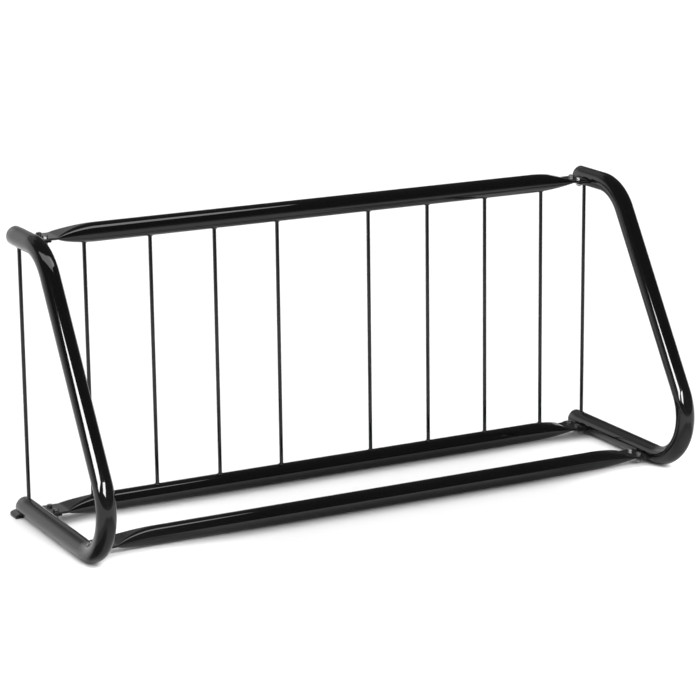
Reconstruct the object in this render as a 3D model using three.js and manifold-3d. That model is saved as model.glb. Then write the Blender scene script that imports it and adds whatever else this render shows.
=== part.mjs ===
// Floor bike rack for nine wheels: two bent end frames, three rails with pressed-flat ends bolted
// between them, and upright rods that make the wheel slots.
// Millimetres. X runs along the rails, Y to the rear, Z up. The rack stands on Z = 0.

import * as THREE from 'three';
import { mergeVertices } from 'three/addons/utils/BufferGeometryUtils.js';
import Module from 'manifold-3d';

const wasm = await Module();
wasm.setup();

// ---- Driving dimensions ------------------------------------------------------------------------

// The tube that the end frames and the rails are made of.
const TUBE_DIAMETER = 48.3;
const TUBE_WALL = 2.6;

// The top rail's place, behind and above the rear floor rail, between their axes.
const TOP_RAIL_RISE = 682;
const TOP_RAIL_OFFSET = 20;

// The front floor rail's axis, behind the point where the foot bend starts.
const FRONT_RAIL_INSET = 26;

// An end frame: its rear ends, the corners where its straight runs would meet, and its two bends.
// The places are measured along Y from the rear floor rail's axis.
const STUB_REAR_REACH = 66;
const FLOOR_RUN_REAR_REACH = 60;
const LEG_HEAD_SETBACK = 108;
const LEG_FOOT_SETBACK = 550;
const HEAD_BEND_RADIUS = 125;
const FOOT_BEND_RADIUS = 125;

// The upright rods, between their axes: the wheel slots set the length of the rack.
const ROD_DIAMETER = 9.5;
const RODS_PER_SIDE = 4;
const ROD_PITCH = 175;
const MIDDLE_BAY = 262.5;
const END_BAY = 156.75;

// The rod of an end frame, ahead of the frame's rear ends.
const END_ROD_FLOOR_INSET = 27;
const END_ROD_TOP_INSET = 18;

// A rail's end: pressed flat over the tab, then swelling back to the round tube.
const TAB_STANDOFF = 6;
const TAB_LENGTH = 48;
const TAB_SLIT = 0.4;
const SWELL_LENGTH = 110;
const SWELL_FULLNESS = 0.75;

// The joint plate on the inner side of an end frame, under the rail's tab.
const PLATE_THICKNESS = 4;
const PLATE_BEYOND_BOLT = 12;
const PLATE_MARGIN = 1;

// Joint bolts, two at each tab, side by side, and their nuts.
const BOLT_DIAMETER = 7.9;
const BOLT_PROTRUSION = 2.1;
const BOLT_SPACING = 38;
const BOLT_SETBACK = 18;
const BOLT_HOLE = 9;
const HEAD_ACROSS_FLATS = 12.7;
const HEAD_HEIGHT = 5.4;
const NUT_ACROSS_FLATS = 12.7;
const NUT_HEIGHT = 6.7;

// Plastic plug in each open tube end.
const PLUG_RIM = 2.5;
const PLUG_DOME = 1;
const PLUG_DEPTH = 18;

// Anchor ear at the floor, round the rear end of each end frame, with its floor bolt hole.
const EAR_WIDTH = 66;
const EAR_LENGTH = 63;
const EAR_OVERHANG = 45;
const EAR_THICKNESS = 5;
const EAR_HOLE = 11;
const EAR_HOLE_MARGIN = 16;

// Clearances between pieces.
const WELD_GAP = 0.3;
const SEAT_GAP = 0.2;

// Facets.
const TUBE_SIDES = 24;
const BORE_SIDES = 12;
const ROD_SIDES = 12;
const HOLE_SIDES = 16;
const SWELL_STEPS = 6;
const SWELL_CROWDING = 1.5;
const BEND_STEP = THREE.MathUtils.degToRad(11.5);

// ---- Sizes that follow -------------------------------------------------------------------------

const TUBE_RADIUS = TUBE_DIAMETER / 2;
const BORE_RADIUS = TUBE_RADIUS - TUBE_WALL;
const HALF_SPACING = MIDDLE_BAY / 2 + (RODS_PER_SIDE - 1) * ROD_PITCH + END_BAY;
const TAB_HALF_THICKNESS = TUBE_WALL + TAB_SLIT / 2;
const TAB_END_X = HALF_SPACING - TUBE_RADIUS - TAB_STANDOFF;
const TAB_ROOT_X = TAB_END_X - TAB_LENGTH;
const BOLT_X = TAB_END_X - BOLT_SETBACK;
const PLUG_STAND = SEAT_GAP + PLUG_RIM + PLUG_DOME;

// Heights at a joint, from the rail's axis.
const HEAD_SEAT_Z = TAB_HALF_THICKNESS + SEAT_GAP;
const PLATE_TOP_Z = -TAB_HALF_THICKNESS - SEAT_GAP;
const PLATE_BOTTOM_Z = PLATE_TOP_Z - PLATE_THICKNESS;
const NUT_SEAT_Z = PLATE_BOTTOM_Z - SEAT_GAP;
const BOLT_LENGTH = HEAD_SEAT_Z - NUT_SEAT_Z + NUT_HEIGHT + BOLT_PROTRUSION;

// The lengths that an end frame's bends take from its straight runs.
const LEG_SLOPE = Math.atan2(TOP_RAIL_RISE, LEG_FOOT_SETBACK - LEG_HEAD_SETBACK);
const HEAD_TANGENT = HEAD_BEND_RADIUS * Math.tan(LEG_SLOPE / 2);
const FOOT_TANGENT = FOOT_BEND_RADIUS * Math.tan((Math.PI - LEG_SLOPE) / 2);

const RAILS = {
  top: { y: TOP_RAIL_OFFSET, z: TOP_RAIL_RISE },
  rear_floor: { y: 0, z: 0 },
  front_floor: { y: FOOT_TANGENT + FRONT_RAIL_INSET - LEG_FOOT_SETBACK, z: 0 },
};
const SIDES = { left: -1, right: 1 };

// ---- Finishes ----------------------------------------------------------------------------------

const BLACK_COAT = { color: 0x121213, roughness: 0.22, metalness: 0.0 };
const ZINC = { color: 0xa9adb2, roughness: 0.35, metalness: 1.0 };
const BLACK_PLASTIC = { color: 0x0d0d0e, roughness: 0.55, metalness: 0.0 };

// ---- Solids ------------------------------------------------------------------------------------

/** A closed three.js geometry as a manifold solid. */
function solid(geometry) {
  const bare = geometry.clone();
  bare.deleteAttribute('normal');
  bare.deleteAttribute('uv');
  const merged = mergeVertices(bare);
  const vertProperties = new Float32Array(merged.attributes.position.array);
  const triVerts = new Uint32Array(merged.index.array);
  return new wasm.Manifold(new wasm.Mesh({ numProp: 3, vertProperties, triVerts }));
}

/** A manifold solid as a three.js geometry. */
function geometryOf(body) {
  const mesh = body.getMesh();
  const geometry = new THREE.BufferGeometry();
  geometry.setAttribute('position', new THREE.BufferAttribute(mesh.vertProperties, 3));
  geometry.setIndex(new THREE.BufferAttribute(mesh.triVerts, 1));
  geometry.computeVertexNormals();
  return geometry;
}

/** An upright cylinder, or a prism with few sides, between two heights. */
function upright(radius, bottom, top, x, y, sides) {
  const geometry = new THREE.CylinderGeometry(radius, radius, top - bottom, sides);
  geometry.rotateX(Math.PI / 2);
  geometry.translate(x, y, (bottom + top) / 2);
  return solid(geometry);
}

/** A round bar between two points. */
function bar(radius, from, to, sides) {
  const along = to.clone().sub(from);
  const geometry = new THREE.CylinderGeometry(radius, radius, along.length(), sides);
  const turn = new THREE.Quaternion().setFromUnitVectors(
    new THREE.Vector3(0, 1, 0),
    along.clone().normalize(),
  );
  geometry.applyQuaternion(turn);
  const middle = from.clone().add(to).multiplyScalar(0.5);
  geometry.translate(middle.x, middle.y, middle.z);
  return solid(geometry);
}

/** A box between two corners. */
function block(low, high) {
  const geometry = new THREE.BoxGeometry(high.x - low.x, high.y - low.y, high.z - low.z);
  geometry.translate((low.x + high.x) / 2, (low.y + high.y) / 2, (low.z + high.z) / 2);
  return solid(geometry);
}

/** A closed skin through rings of points, each ring running the same way round, with flat ends. */
function loft(rings) {
  const count = rings[0].length;
  const points = rings.flat();
  const triangles = [];
  for (let r = 0; r + 1 < rings.length; r++) {
    for (let i = 0; i < count; i++) {
      const a = r * count + i;
      const b = r * count + ((i + 1) % count);
      triangles.push(a, b, b + count, a, b + count, a + count);
    }
  }
  const last = (rings.length - 1) * count;
  for (let i = 1; i + 1 < count; i++) {
    triangles.push(0, i + 1, i);
    triangles.push(last, last + i, last + i + 1);
  }
  const geometry = new THREE.BufferGeometry().setFromPoints(points);
  geometry.setIndex(triangles);
  return solid(geometry);
}

// ---- End frames --------------------------------------------------------------------------------

/** Stations along an arc that starts at a point and turns from one direction towards another. */
function arcStations(start, from, to, radius) {
  const angle = from.angleTo(to);
  const inward = to.clone().addScaledVector(from, -from.dot(to)).normalize();
  const centre = start.clone().addScaledVector(inward, radius);
  const steps = Math.ceil(angle / BEND_STEP);
  const stations = [];
  for (let i = 0; i <= steps; i++) {
    const turn = (angle * i) / steps;
    const point = centre.clone().addScaledVector(inward, -radius * Math.cos(turn));
    point.addScaledVector(from, radius * Math.sin(turn));
    const direction = from.clone().multiplyScalar(Math.cos(turn));
    direction.addScaledVector(inward, Math.sin(turn));
    stations.push({ point, direction });
  }
  return stations;
}

/** The centreline of an end frame: rear stub, head bend, slanted leg, foot bend, floor run. */
function frameStations(overrun) {
  const forward = new THREE.Vector3(0, -1, 0);
  const down = new THREE.Vector3(0, 0, -1);
  const rearward = new THREE.Vector3(0, 1, 0);
  const head = new THREE.Vector3(0, -LEG_HEAD_SETBACK, TOP_RAIL_RISE);
  const foot = new THREE.Vector3(0, -LEG_FOOT_SETBACK, 0);
  const leg = foot.clone().sub(head).normalize();
  const headStart = head.clone().addScaledVector(forward, -HEAD_TANGENT);
  const footStart = foot.clone().addScaledVector(leg, -FOOT_TANGENT);

  // The foot bend is cut where the tube runs straight down, the foremost point of the rack.
  const headBend = arcStations(headStart, forward, leg, HEAD_BEND_RADIUS);
  const footBend = arcStations(footStart, leg, down, FOOT_BEND_RADIUS);
  const foremost = footBend.pop();
  footBend.push(...arcStations(foremost.point, down, rearward, FOOT_BEND_RADIUS));

  return [
    { point: new THREE.Vector3(0, STUB_REAR_REACH + overrun, TOP_RAIL_RISE), direction: forward },
    ...headBend,
    ...footBend,
    { point: new THREE.Vector3(0, FLOOR_RUN_REAR_REACH + overrun, 0), direction: rearward },
  ];
}

/** A bar along the end frame's centreline, of a radius to its flats, run past the rear ends. */
function frameBar(radius, overrun, sides) {
  const across = new THREE.Vector3(1, 0, 0);
  const cornerRadius = radius / Math.cos(Math.PI / sides);
  const rings = frameStations(overrun).map(({ point, direction }) => {
    const outward = new THREE.Vector3().crossVectors(direction, across);
    return Array.from({ length: sides }, (_, i) => {
      const angle = (2 * Math.PI * (i + 0.5)) / sides;
      const corner = point.clone().addScaledVector(across, cornerRadius * Math.cos(angle));
      return corner.addScaledVector(outward, cornerRadius * Math.sin(angle));
    });
  });
  return loft(rings);
}

/** The bore's radius to its flats, drawn so that its corners leave the full wall. */
function boreFlatRadius() {
  return BORE_RADIUS * Math.cos(Math.PI / BORE_SIDES);
}

/** A bent tube with open rear ends. */
function endFrame() {
  const bore = frameBar(boreFlatRadius(), PLUG_DEPTH, BORE_SIDES);
  return frameBar(TUBE_RADIUS, 0, TUBE_SIDES).subtract(bore);
}

/** The space that an end frame and its plugs keep from their neighbours. */
function frameSpace() {
  return frameBar(TUBE_RADIUS + WELD_GAP, PLUG_STAND + WELD_GAP, TUBE_SIDES);
}

// ---- Rails -------------------------------------------------------------------------------------

/** Half the height of a rail's section, from the flat tab at 0 to the round tube at 1. */
function swell(share) {
  const rise = Math.sin((share * Math.PI) / 2) ** SWELL_FULLNESS;
  return TAB_HALF_THICKNESS + (TUBE_RADIUS - TAB_HALF_THICKNESS) * rise;
}

/** One section of a rail: flat above and below, round at its sides, of the tube's girth. */
function railRing(x, halfHeight, inset, sides) {
  const halfFlat = (Math.PI / 2) * (TUBE_RADIUS - halfHeight);
  const cornerRadius = (halfHeight - inset) / Math.cos(Math.PI / sides);
  return Array.from({ length: sides }, (_, i) => {
    const angle = (2 * Math.PI * (i + 0.5)) / sides;
    const side = Math.sign(Math.cos(angle));
    const y = side * halfFlat + cornerRadius * Math.cos(angle);
    return new THREE.Vector3(x, y, cornerRadius * Math.sin(angle));
  });
}

/** A rail's body, drawn in by an inset and run past its tabs' ends by an overrun. */
function railBar(inset, overrun, sides) {
  const half = [{ x: TAB_END_X + overrun, halfHeight: TAB_HALF_THICKNESS }];
  for (let i = 0; i <= SWELL_STEPS; i++) {
    const share = (i / SWELL_STEPS) ** SWELL_CROWDING;
    half.push({ x: TAB_ROOT_X - share * SWELL_LENGTH, halfHeight: swell(share) });
  }
  const mirrored = half.map(({ x, halfHeight }) => ({ x: -x, halfHeight }));
  const stations = [...mirrored, ...half.reverse()];
  return loft(stations.map(({ x, halfHeight }) => railRing(x, halfHeight, inset, sides)));
}

/** A tube whose two ends are pressed flat and drilled for the joint bolts. */
function rail() {
  let body = railBar(0, 0, TUBE_SIDES).subtract(railBar(TUBE_WALL, TAB_STANDOFF, BORE_SIDES));
  for (const side of Object.values(SIDES)) {
    for (const row of [-1, 1]) {
      const hole = upright(BOLT_HOLE / 2, -TUBE_RADIUS, TUBE_RADIUS, side * BOLT_X,
        (row * BOLT_SPACING) / 2, HOLE_SIDES);
      body = body.subtract(hole);
    }
  }
  return body;
}

// ---- Rods, plates, fasteners, plugs and ears ----------------------------------------------------

/** A grid rod between the rear floor rail and the top rail, its ends fitted to both. */
function gridRod(x, railSpace) {
  const low = new THREE.Vector3(x, RAILS.rear_floor.y, RAILS.rear_floor.z);
  const high = new THREE.Vector3(x, RAILS.top.y, RAILS.top.z);
  return bar(ROD_DIAMETER / 2, low, high, ROD_SIDES)
    .subtract(railSpace.translate([0, RAILS.rear_floor.y, RAILS.rear_floor.z]))
    .subtract(railSpace.translate([0, RAILS.top.y, RAILS.top.z]));
}

/** The rod of an end frame, between its floor run and its stub. */
function endRod(space) {
  const low = new THREE.Vector3(0, FLOOR_RUN_REAR_REACH - END_ROD_FLOOR_INSET, 0);
  const high = new THREE.Vector3(0, STUB_REAR_REACH - END_ROD_TOP_INSET, TOP_RAIL_RISE);
  return bar(ROD_DIAMETER / 2, low, high, ROD_SIDES).subtract(space);
}

/** A joint plate on the inner side of an end frame whose centre plane is at X = 0. */
function jointPlate(side, railPlace, space) {
  const tabHalfWidth = TAB_HALF_THICKNESS + (Math.PI / 2) * (TUBE_RADIUS - TAB_HALF_THICKNESS);
  const halfWidth = tabHalfWidth - PLATE_MARGIN;
  const boltX = side * (BOLT_X - HALF_SPACING);
  const inner = boltX - side * PLATE_BEYOND_BOLT;
  const low = { x: Math.min(0, inner), y: railPlace.y - halfWidth, z: railPlace.z + PLATE_BOTTOM_Z };
  const high = { x: Math.max(0, inner), y: railPlace.y + halfWidth, z: railPlace.z + PLATE_TOP_Z };
  let body = block(low, high).subtract(space);
  for (const row of [-1, 1]) {
    const y = railPlace.y + (row * BOLT_SPACING) / 2;
    body = body.subtract(upright(BOLT_HOLE / 2, low.z - 1, high.z + 1, boltX, y, HOLE_SIDES));
  }
  return body;
}

/** A hex bolt, its head seated at Z = 0. */
function bolt() {
  const headRadius = HEAD_ACROSS_FLATS / 2 / Math.cos(Math.PI / 6);
  const head = upright(headRadius, 0, HEAD_HEIGHT, 0, 0, 6);
  return head.add(upright(BOLT_DIAMETER / 2, -BOLT_LENGTH, HEAD_HEIGHT / 2, 0, 0, ROD_SIDES));
}

/** A hex nut, seated against Z = 0 from below. */
function nut() {
  const hexRadius = NUT_ACROSS_FLATS / 2 / Math.cos(Math.PI / 6);
  const hex = upright(hexRadius, -NUT_HEIGHT, 0, 0, 0, 6);
  return hex.subtract(upright(BOLT_DIAMETER / 2 + SEAT_GAP, -NUT_HEIGHT - 1, 1, 0, 0, ROD_SIDES));
}

/** A domed plug, its rim seated at Y = 0 and its hollow spigot ahead of that. */
function plug() {
  const spigotRadius = boreFlatRadius() - WELD_GAP;
  const hollowRadius = spigotRadius - TUBE_WALL;
  const profile = [
    [0, PLUG_RIM + PLUG_DOME],
    [TUBE_RADIUS - PLUG_DOME, PLUG_RIM],
    [TUBE_RADIUS, PLUG_RIM - PLUG_DOME],
    [TUBE_RADIUS, 0],
    [spigotRadius, 0],
    [spigotRadius, -PLUG_DEPTH],
    [hollowRadius, -PLUG_DEPTH],
    [hollowRadius, 0],
    [0, 0],
  ];
  const points = profile.map(([r, y]) => new THREE.Vector2(r, y)).reverse();
  return solid(new THREE.LatheGeometry(points, TUBE_SIDES));
}

/** The anchor ear at the rear foot of an end frame whose centre plane is at X = 0. */
function anchorEar(space) {
  const radius = EAR_WIDTH / 2;
  const rear = FLOOR_RUN_REAR_REACH + EAR_OVERHANG;
  const front = rear - EAR_LENGTH;
  const outline = new THREE.Shape();
  outline.moveTo(-radius, front);
  outline.lineTo(radius, front);
  outline.lineTo(radius, rear - radius);
  outline.absarc(0, rear - radius, radius, 0, Math.PI, false);
  const geometry = new THREE.ExtrudeGeometry(outline, {
    depth: EAR_THICKNESS, bevelEnabled: false, curveSegments: HOLE_SIDES,
  });
  geometry.translate(0, 0, -TUBE_RADIUS);
  const holeY = rear - EAR_HOLE_MARGIN;
  const hole = upright(EAR_HOLE / 2, -TUBE_RADIUS - 1, EAR_THICKNESS - TUBE_RADIUS + 1, 0, holeY,
    HOLE_SIDES);
  return solid(geometry).subtract(space).subtract(hole);
}

// ---- Assembly ----------------------------------------------------------------------------------

const group = new THREE.Group();
group.name = 'floor_bike_rack';

/** Adds a named piece to a group. */
function add(parent, name, geometry, finish) {
  const mesh = new THREE.Mesh(geometry, new THREE.MeshStandardMaterial(finish));
  mesh.name = name;
  parent.add(mesh);
  return mesh;
}

// The rack's own frame has its origin at the middle of the rear floor rail's axis.
const rack = new THREE.Group();
group.add(rack);

const space = frameSpace();
const railSpace = railBar(-WELD_GAP, 0, TUBE_SIDES);
const shapes = {
  frame: geometryOf(endFrame()),
  endRod: geometryOf(endRod(space)),
  rail: geometryOf(rail()),
  bolt: geometryOf(bolt()),
  nut: geometryOf(nut()),
  plug: geometryOf(plug()),
  ear: geometryOf(anchorEar(space)),
};

for (const [railName, place] of Object.entries(RAILS)) {
  const mesh = add(rack, `${railName}_rail`, shapes.rail, BLACK_COAT);
  mesh.position.set(0, place.y, place.z);
}

for (let i = 0; i < 2 * RODS_PER_SIDE; i++) {
  const side = i < RODS_PER_SIDE ? -1 : 1;
  const step = side < 0 ? RODS_PER_SIDE - 1 - i : i - RODS_PER_SIDE;
  const x = side * (MIDDLE_BAY / 2 + step * ROD_PITCH);
  add(rack, `grid_rod_${i + 1}`, geometryOf(gridRod(x, railSpace)), BLACK_COAT);
}

for (const [sideName, side] of Object.entries(SIDES)) {
  const end = new THREE.Group();
  end.position.x = side * HALF_SPACING;
  rack.add(end);

  add(end, `${sideName}_end_frame`, shapes.frame, BLACK_COAT);
  add(end, `${sideName}_end_rod`, shapes.endRod, BLACK_COAT);
  add(end, `${sideName}_anchor_ear`, shapes.ear, BLACK_COAT);

  const topPlug = add(end, `${sideName}_top_plug`, shapes.plug, BLACK_PLASTIC);
  topPlug.position.set(0, STUB_REAR_REACH + SEAT_GAP, TOP_RAIL_RISE);
  const floorPlug = add(end, `${sideName}_floor_plug`, shapes.plug, BLACK_PLASTIC);
  floorPlug.position.set(0, FLOOR_RUN_REAR_REACH + SEAT_GAP, 0);

  for (const [railName, place] of Object.entries(RAILS)) {
    const joint = `${sideName}_${railName}`;
    add(end, `${joint}_plate`, geometryOf(jointPlate(side, place, space)), BLACK_COAT);
    for (const [rowName, row] of Object.entries({ front: -1, rear: 1 })) {
      const x = side * (BOLT_X - HALF_SPACING);
      const y = place.y + (row * BOLT_SPACING) / 2;
      const screw = add(end, `${joint}_${rowName}_bolt`, shapes.bolt, ZINC);
      screw.position.set(x, y, place.z + HEAD_SEAT_Z);
      const fastener = add(end, `${joint}_${rowName}_nut`, shapes.nut, ZINC);
      fastener.position.set(x, y, place.z + NUT_SEAT_Z);
    }
  }
}

// The whole rack stands on Z = 0, with the origin at the middle of its floor area.
const foremostY = Math.min(...frameStations(0).map(({ point }) => point.y)) - TUBE_RADIUS;
const rearmostY = Math.max(
  FLOOR_RUN_REAR_REACH + Math.max(EAR_OVERHANG, PLUG_STAND),
  STUB_REAR_REACH + PLUG_STAND,
);
rack.position.set(0, -(foremostY + rearmostY) / 2, TUBE_RADIUS);

export default group;
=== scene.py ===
"""Looks of a floor bike rack: coated tubes, pressed rail ends, weld beads, bolts, plugs and ears.

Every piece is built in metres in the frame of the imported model, stands for its nodes there and
rides on the rack's one body.
"""

import logging
import math
from dataclasses import dataclass, replace
from enum import Enum
from typing import Callable, Sequence

import bmesh
import bpy
from mathutils import Matrix, Vector


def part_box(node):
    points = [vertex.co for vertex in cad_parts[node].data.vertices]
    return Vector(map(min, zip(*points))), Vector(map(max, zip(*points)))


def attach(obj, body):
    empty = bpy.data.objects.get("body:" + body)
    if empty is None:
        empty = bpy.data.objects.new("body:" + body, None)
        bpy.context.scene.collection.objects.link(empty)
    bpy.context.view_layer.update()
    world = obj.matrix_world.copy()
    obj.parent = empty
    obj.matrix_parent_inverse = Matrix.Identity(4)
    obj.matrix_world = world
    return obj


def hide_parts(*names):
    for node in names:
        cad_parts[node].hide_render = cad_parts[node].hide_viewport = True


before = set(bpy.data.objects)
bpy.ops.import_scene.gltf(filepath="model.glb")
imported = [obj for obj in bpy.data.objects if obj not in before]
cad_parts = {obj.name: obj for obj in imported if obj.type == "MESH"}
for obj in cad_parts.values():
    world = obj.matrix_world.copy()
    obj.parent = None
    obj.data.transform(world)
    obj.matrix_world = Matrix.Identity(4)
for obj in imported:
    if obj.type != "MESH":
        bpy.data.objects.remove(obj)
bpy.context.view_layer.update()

log = logging.getLogger("floor_bike_rack")

MM = 0.001
BODY = "root"
FULL_TURN = 2 * math.pi
QUARTER_TURN = math.pi / 2
X_AXIS = Vector((1, 0, 0))
FORWARDS = Vector((0, -1, 0))
SMOOTH_LIMIT = math.radians(32)
SHARPEST_CORNER = 0.3
PLATE_EDGE_STEPS = 3
RACK_MIDDLE = Vector((0, 0, 0.35))
WHITE = (1, 1, 1, 1)

Point = tuple[float, float, float]
Ring = list[Vector]
Socket = bpy.types.NodeSocket
Sockets = bpy.types.NodeOutputs
Tree = bpy.types.NodeTree
Piece = bpy.types.Object


class Slot(Enum):
    """The material slots."""

    BLACK_COAT = "black_coat"
    ZINC_PLATE = "zinc_plate"
    BLACK_PLASTIC = "black_plastic"


class Side(Enum):
    """The two ends of the rack, by the sign of X."""

    LEFT = -1
    RIGHT = 1

    @property
    def word(self) -> str:
        """The side's word in node names."""
        return self.name.lower()


class RailPlace(Enum):
    """The three rails, by the word that starts their node names."""

    TOP = "top"
    REAR_FLOOR = "rear_floor"
    FRONT_FLOOR = "front_floor"

    @property
    def node(self) -> str:
        """The rail's node."""
        return f"{self.value}_rail"


class BoltRow(Enum):
    """The two bolts at a rail's tab."""

    FRONT = "front"
    REAR = "rear"


GRID_RAILS = ((RailPlace.REAR_FLOOR, 1), (RailPlace.TOP, -1))
JOINTS = [(side, place) for side in Side for place in RailPlace]


# ---- Mesh building ----


def put(name: str, data: bpy.types.ID) -> Piece:
    """Adds an object to the scene.

    Args:
        name: The object's name.
        data: Its mesh, lamp or camera.

    Returns:
        The new object, at the origin.
    """
    placed = bpy.data.objects.new(name, data)
    bpy.context.scene.collection.objects.link(placed)
    return placed


def crisp(data: bpy.types.Mesh) -> None:
    """Shades a mesh smooth, with sharp edges where its faces turn."""
    data.shade_smooth()
    data.set_sharp_from_angle(angle=SMOOTH_LIMIT)


def skinned(name: str, rings: Sequence[Ring], closed: bool = False) -> Piece:
    """Skins a row of rings, with a fan at both ends unless the row closes on itself.

    Args:
        name: The object's name.
        rings: The rings in order, each with the same count of points.
        closed: True where the last ring meets the first.

    Returns:
        The new object, at the origin.
    """
    mesh = bmesh.new()
    made = [[mesh.verts.new(point) for point in ring] for ring in rings]
    for first, second in zip(made, made[1:] + (made[:1] if closed else [])):
        for i, vert in enumerate(first):
            j = (i + 1) % len(first)
            mesh.faces.new((vert, first[j], second[j], second[i]))
    for end in () if closed else (made[0], made[-1]):
        tip = mesh.verts.new(sum((vert.co for vert in end), Vector()) / len(end))
        for i, vert in enumerate(end):
            mesh.faces.new((vert, end[(i + 1) % len(end)], tip))
    bmesh.ops.recalc_face_normals(mesh, faces=mesh.faces)
    data = bpy.data.meshes.new(name)
    mesh.to_mesh(data)
    mesh.free()
    crisp(data)
    return put(name, data)


def wire_of(lines: Sequence[Ring], closed: bool = False) -> Piece:
    """A mesh of bare edges for a geometry tree to follow.

    Args:
        lines: The lines, each a row of points.
        closed: True where each line ends at its own start.

    Returns:
        The new object.
    """
    points: Ring = []
    edges: list[tuple[int, int]] = []
    for line in lines:
        start = len(points)
        points += line
        edges += [(start + i, start + i + 1) for i in range(len(line) - 1)]
        if closed:
            edges.append((start + len(line) - 1, start))
    data = bpy.data.meshes.new("wire")
    data.from_pydata(points, edges, [])
    return put("wire", data)


def round_angles(count: int) -> list[float]:
    """Evenly spaced angles of one full turn."""
    return [FULL_TURN * i / count for i in range(count)]


def polar(angle: float, radius: float, z: float = 0.0) -> Vector:
    """The point at an angle and a distance round the Z axis."""
    return Vector((radius * math.cos(angle), radius * math.sin(angle), z))


def arc_points(centre: Vector, radius: float, start: float, end: float, steps: int) -> Ring:
    """Points along an arc in the XY plane, both ends included."""
    return [centre + polar(start + (end - start) * i / steps, radius) for i in range(steps + 1)]


def tube_ring(point: Vector, way: Vector, radius: float, count: int) -> Ring:
    """A circle square to the axis of a tube that keeps to one X."""
    outward = way.cross(X_AXIS)
    return [point + (X_AXIS * math.cos(a) + outward * math.sin(a)) * radius for a in round_angles(count)]


def quarter(radius: float, steps: int) -> list[tuple[float, float]]:
    """A rounded edge: how far in from the side and down from the face each step lies."""
    angles = [QUARTER_TURN * i / steps for i in range(steps + 1)]
    return [(radius * (1 - math.sin(a)), radius * (1 - math.cos(a))) for a in angles]


def plate_levels(low: float, high: float, edge: float) -> list[tuple[float, float]]:
    """Levels up the side of a plate with rounded edges.

    Args:
        low: The height of its underside.
        high: The height of its top.
        edge: The radius of its edges.

    Returns:
        Pairs of how far in from the side and how high each level lies.
    """
    rounded = quarter(edge, PLATE_EDGE_STEPS)
    return [(into, low + down) for into, down in rounded] + [
        (into, high - down) for into, down in reversed(rounded)]


def inset(outline: Sequence[Vector], amount: float) -> Ring:
    """Draws a convex outline in.

    Args:
        outline: Points in the XY plane, counter-clockwise.
        amount: How far in.

    Returns:
        The new outline.
    """
    moved: Ring = []
    for before, point, after in zip(outline[-1:] + outline[:-1], outline, outline[1:] + outline[:1]):
        ways = [(point - before).normalized(), (after - point).normalized()]
        normals = [Vector((-way.y, way.x, 0)) for way in ways]
        bisector = (normals[0] + normals[1]).normalized()
        moved.append(point + bisector * amount / max(SHARPEST_CORNER, bisector.dot(normals[0])))
    return moved


def raised(outline: Sequence[Vector], z: float) -> Ring:
    """An outline lifted to a height."""
    return [Vector((p.x, p.y, z)) for p in outline]


# ---- Node trees ----


class Wiring:
    """Adds nodes to a tree and links them by socket name."""

    def __init__(self, tree: Tree) -> None:
        """Starts on a tree."""
        self.tree = tree

    def add(self, kind: str, settings: dict[str, object] | None = None, **inputs: object) -> bpy.types.Node:
        """Adds one node.

        Args:
            kind: The node's type.
            settings: Values of its own properties.
            inputs: Output sockets or plain values, by input name with underscores for spaces,
                or by input number after an underscore.

        Returns:
            The new node.
        """
        node = self.tree.nodes.new(kind)
        for key, value in (settings or {}).items():
            setattr(node, key, value)
        for key, value in inputs.items():
            socket = node.inputs[int(key[1:]) if key[1:].isdigit() else key.replace("_", " ")]
            if isinstance(value, Socket):
                self.tree.links.new(value, socket)
            else:
                socket.default_value = value
        return node

    def math(self, operation: str, first: object, second: object = 0.0) -> Socket:
        """The result of one sum."""
        return self.add("ShaderNodeMath", {"operation": operation}, _0=first, _1=second).outputs[0]

    def noise(self, place: Socket, scale: object, detail: float, roughness: float) -> Socket:
        """The value of a noise texture."""
        return self.add("ShaderNodeTexNoise", Vector=place, Scale=scale, Detail=detail,
                        Roughness=roughness).outputs["Fac"]

    def ramp(self, value: Socket, start: float, end: float, easing: str = "LINEAR") -> Socket:
        """How far a value lies from a start to an end, held between 0 and 1."""
        return self.add("ShaderNodeMapRange", {"interpolation_type": easing}, Value=value,
                        From_Min=start, From_Max=end).outputs["Result"]

    def blend(self, share: Socket, first: Socket, second: Socket) -> Socket:
        """A mix of two shaders."""
        return self.add("ShaderNodeMixShader", _0=share, _1=first, _2=second).outputs[0]


def bare_wiring(owner: bpy.types.Material | bpy.types.World) -> Wiring:
    """Empties the node tree of a material or a world.

    Args:
        owner: The material or the world.

    Returns:
        The wiring of its tree.
    """
    owner.use_nodes = True
    owner.node_tree.nodes.clear()
    return Wiring(owner.node_tree)


def new_tree(name: str, kind: str, inputs: dict[str, str], outputs: dict[str, str]) -> Wiring:
    """A node group with named sockets.

    Args:
        name: The group's name.
        kind: GeometryNodeTree or ShaderNodeTree.
        inputs: What each input holds, such as Float, by name.
        outputs: What each output holds, by name.

    Returns:
        The wiring of the new group.
    """
    tree = bpy.data.node_groups.new(name, kind)
    for way, sockets in (("INPUT", inputs), ("OUTPUT", outputs)):
        for label, holds in sockets.items():
            tree.interface.new_socket(label, in_out=way, socket_type=f"NodeSocket{holds}")
    return Wiring(tree)


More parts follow.
